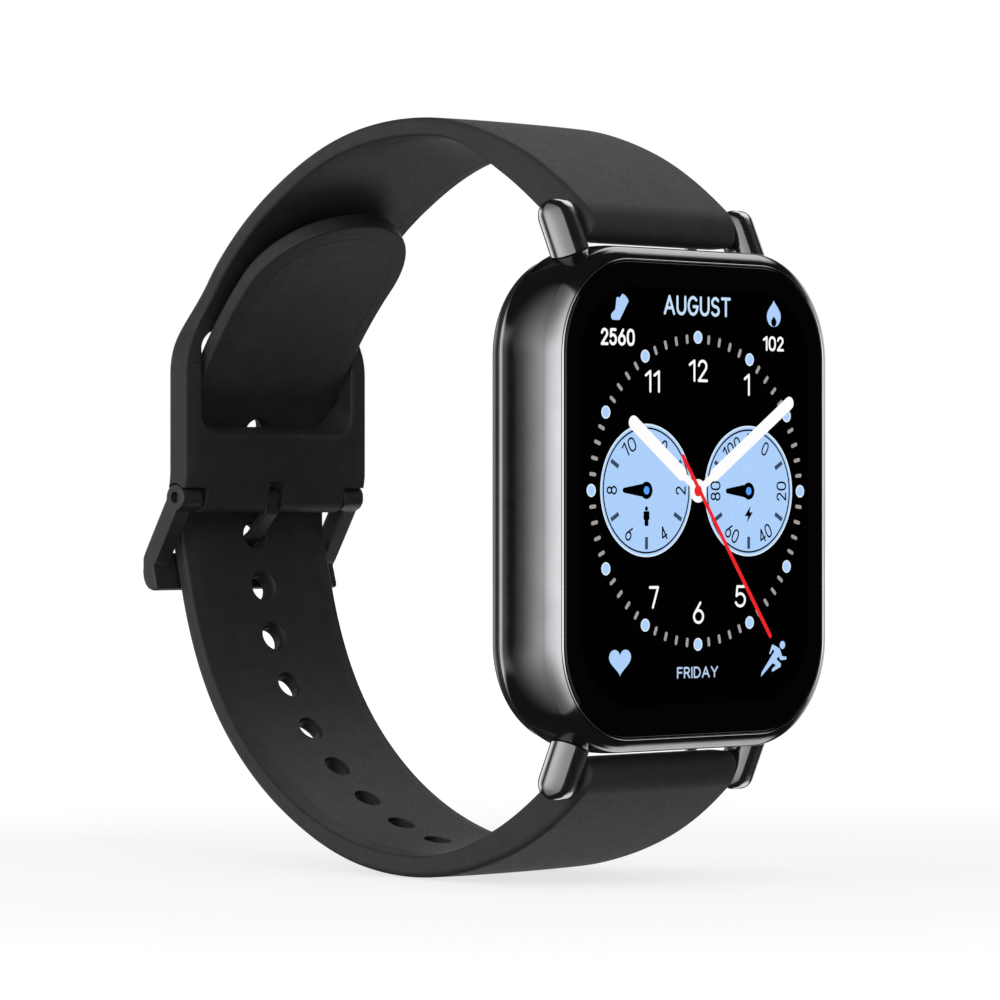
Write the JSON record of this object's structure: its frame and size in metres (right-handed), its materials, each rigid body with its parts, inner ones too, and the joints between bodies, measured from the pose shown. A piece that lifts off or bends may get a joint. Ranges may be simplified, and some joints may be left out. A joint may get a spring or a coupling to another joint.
{
  "type": "smartwatch",
  "caption": "Smartwatch with a rounded rectangular metal case, separate lugs, quick-release spring bars and a tuck-in sport strap with a pin buckle, closed in a loop.",
  "frame": {"origin": "centre of the sensor window's outer face, which rests on the wrist", "axes": "+Z to the 12 o'clock side, +X to the 3 o'clock side, +Y from the case towards the wrist, so the display faces -Y"},
  "size_m": [0.0407, 0.0681, 0.0756],
  "materials": {
    "case_metal": "polished black",
    "cover_glass": "polished",
    "seal": "matt",
    "display": "gloss black",
    "steel": "satin",
    "polyimide": "satin",
    "chassis_metal": "machined",
    "board": "satin",
    "cell": "matt",
    "tungsten": "satin",
    "black_plastic": "matt",
    "mesh": "woven",
    "button_metal": "polished black",
    "back_shell": "gloss",
    "sensor_glass": "gloss",
    "led": "clear",
    "gold": "polished",
    "magnet": "plated",
    "strap_rubber": "soft matt",
    "buckle_metal": "satin black"
  },
  "bodies": {
    "case": {"case_frame": "case_metal", "lug_upper_left": "case_metal", "lug_upper_right": "case_metal", "lug_lower_left": "case_metal", "lug_lower_right": "case_metal", "cover_glass": "cover_glass", "glass_seal": "seal", "display_panel": "display", "display_shield": "steel", "display_flex": "polyimide", "chassis": "chassis_metal", "chassis_screws": "steel", "main_board": "board", "board_shields": "steel", "battery": "cell", "motor_can": "steel", "speaker": "black_plastic", "speaker_mesh": "mesh", "microphone": "black_plastic", "button_switch": "black_plastic", "back_cover": "back_shell", "back_seal": "seal", "sensor_window": "sensor_glass", "sensor_board": "board", "sensor_leds": "led", "photodiodes": "black_plastic", "charging_pins": "gold", "charging_magnets": "magnet"},
    "button": {"side_button": "button_metal"},
    "motor": {"motor_weight": "tungsten"},
    "upper_strap": {"strap_upper": "strap_rubber", "upper_bar_tube": "steel", "upper_bar_tip": "steel", "upper_bar_spring": "steel"},
    "lower_strap": {"strap_lower": "strap_rubber", "lower_bar_tube": "steel", "lower_bar_tip": "steel", "lower_bar_spring": "steel"},
    "upper_release": {"upper_release_pin": "steel"},
    "lower_release": {"lower_release_pin": "steel"},
    "buckle": {"buckle_frame": "buckle_metal", "buckle_pin": "buckle_metal"},
    "prong": {"buckle_prong": "buckle_metal"}
  },
  "joints": [
    {"name": "button_press", "type": "slide", "parent": "case", "child": "button", "axis": [-1, 0, 0], "range_m": [0, 0.00035], "stiffness_N_per_m": 5000},
    {"name": "motor_spin", "type": "hinge", "parent": "case", "child": "motor", "pos_m": [-0.0116, -0.0066, 0.0115], "axis": [0, 1, 0], "continuous": true},
    {"name": "upper_strap_swing", "type": "hinge", "parent": "case", "child": "upper_strap", "pos_m": [0, -0.0043, 0.02745], "axis": [1, 0, 0], "range_deg": [0, 60]},
    {"name": "lower_strap_swing", "type": "hinge", "parent": "case", "child": "lower_strap", "pos_m": [0, -0.0043, -0.02745], "axis": [-1, 0, 0], "range_deg": [0, 60], "deforming": ["strap_lower"]},
    {"name": "buckle_swing", "type": "hinge", "parent": "upper_strap", "child": "buckle", "pos_m": [0, 0.05197, 0.0003], "axis": [1, 0, 0], "range_deg": [0, 50]},
    {"name": "prong_swing", "type": "hinge", "parent": "upper_strap", "child": "prong", "pos_m": [0, 0.05197, 0.0003], "axis": [-1, 0, 0], "range_deg": [0, 70]},
    {"name": "upper_release_slide", "type": "slide", "parent": "upper_strap", "child": "upper_release", "axis": [-1, 0, 0], "range_m": [0, 0.0013], "stiffness_N_per_m": 800, "deforming": ["upper_bar_spring"]},
    {"name": "lower_release_slide", "type": "slide", "parent": "lower_strap", "child": "lower_release", "axis": [-1, 0, 0], "range_m": [0, 0.0013], "stiffness_N_per_m": 800, "deforming": ["lower_bar_spring"]}
  ]
}
